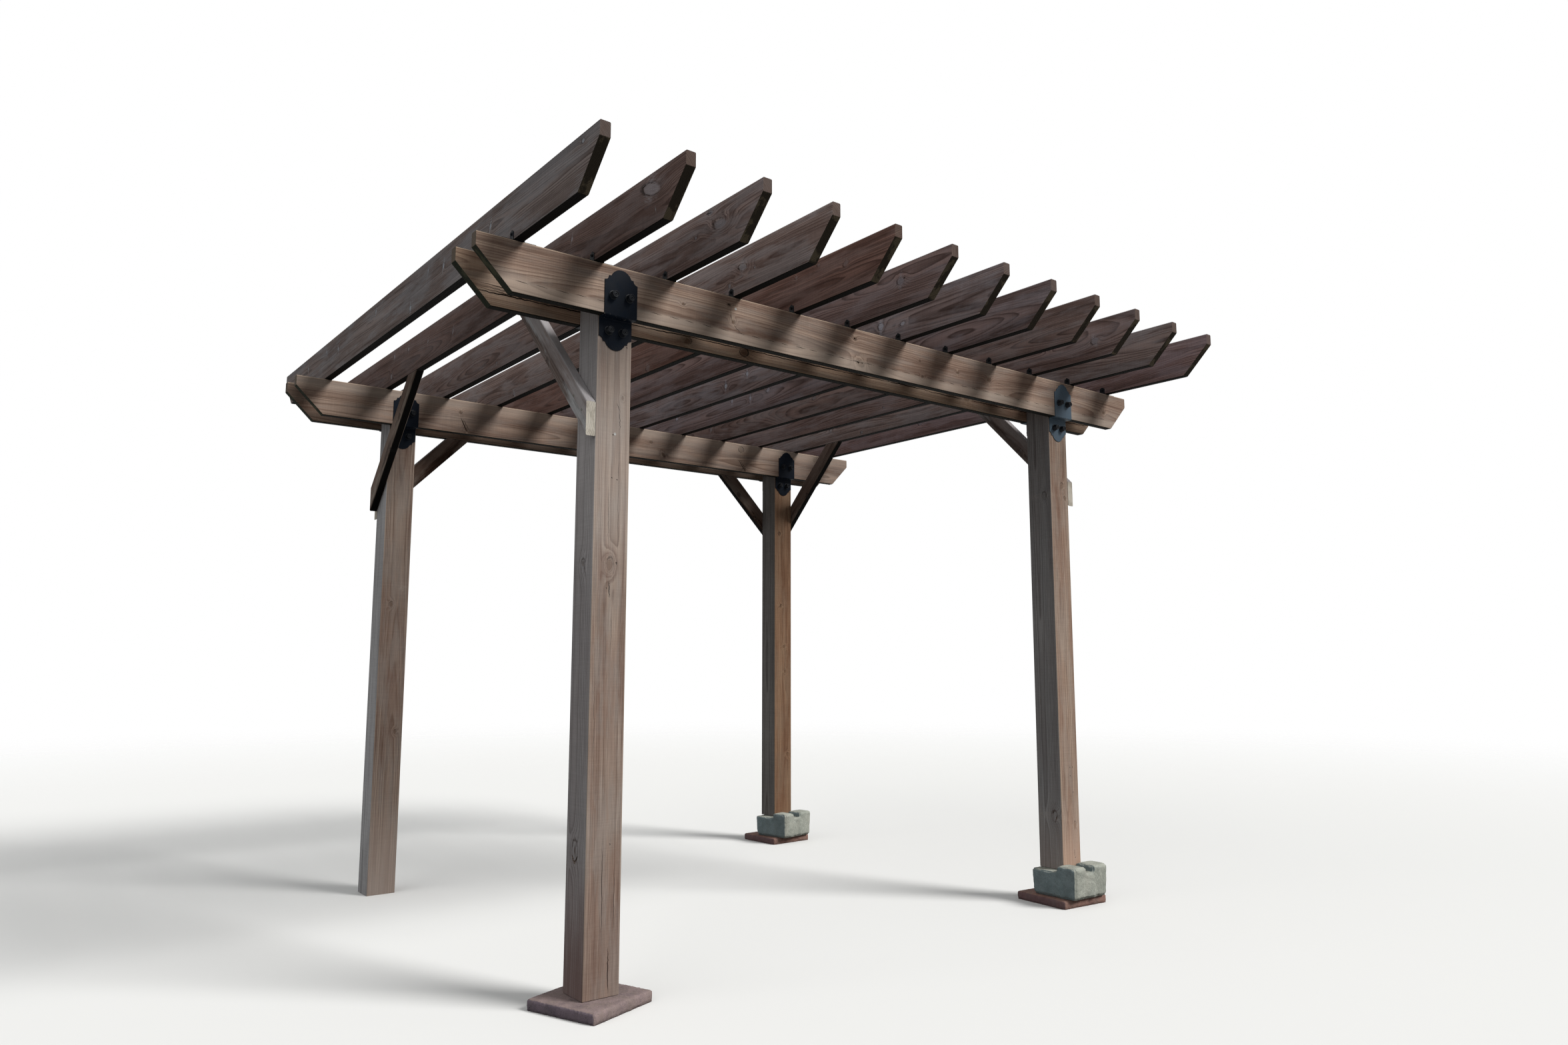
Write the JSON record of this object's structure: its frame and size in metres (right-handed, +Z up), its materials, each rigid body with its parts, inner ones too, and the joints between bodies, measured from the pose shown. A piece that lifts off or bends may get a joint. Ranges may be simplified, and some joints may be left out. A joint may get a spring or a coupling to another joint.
{
  "type": "garden pergola",
  "caption": "Freestanding timber pergola: posts on paver and block feet carry paired beams, open rafters with cut tails, knee braces and black steel brackets.",
  "frame": {"origin": "on the floor, midway between the four posts, under the middle of the roof", "axes": "+X along the beams to the right, +Y along the rafters from the open front to the back, +Z up"},
  "size_m": [3.658, 3.658, 2.758],
  "materials": {
    "post_timber": "weathered semi-transparent brown stain",
    "beam_timber": "weathered semi-transparent red-brown stain",
    "rafter_timber": "weathered semi-transparent red-brown stain",
    "brace_timber": "weathered semi-transparent brown stain",
    "bracket_steel": "black textured powder coat",
    "tie_steel": "black textured powder coat",
    "block_concrete": "rough grey concrete",
    "paver_concrete": "faded red concrete"
  },
  "bodies": {
    "root": {"post_front_left": "post_timber", "post_front_right": "post_timber", "post_back_left": "post_timber", "post_back_right": "post_timber", "beam_front_outer": "beam_timber", "beam_front_inner": "beam_timber", "beam_back_inner": "beam_timber", "beam_back_outer": "beam_timber", "rafter_01": "rafter_timber", "rafter_02": "rafter_timber", "rafter_03": "rafter_timber", "rafter_04": "rafter_timber", "rafter_05": "rafter_timber", "rafter_06": "rafter_timber", "rafter_07": "rafter_timber", "rafter_08": "rafter_timber", "rafter_09": "rafter_timber", "rafter_10": "rafter_timber", "rafter_11": "rafter_timber", "rafter_12": "rafter_timber", "side_brace_front_left": "brace_timber", "side_brace_front_right": "brace_timber", "side_brace_back_left": "brace_timber", "side_brace_back_right": "brace_timber", "back_brace_left": "brace_timber", "back_brace_right": "brace_timber", "bracket_front_left_outer": "bracket_steel", "bracket_front_left_inner": "bracket_steel", "bracket_front_right_outer": "bracket_steel", "bracket_front_right_inner": "bracket_steel", "bracket_back_left_outer": "bracket_steel", "bracket_back_left_inner": "bracket_steel", "bracket_back_right_outer": "bracket_steel", "bracket_back_right_inner": "bracket_steel", "rafter_ties_front": "tie_steel", "rafter_ties_back": "tie_steel", "block_front_right": "block_concrete", "block_back_right": "block_concrete", "paver_front_left": "paver_concrete", "paver_front_right": "paver_concrete", "paver_back_right": "paver_concrete"}
  },
  "joints": []
}
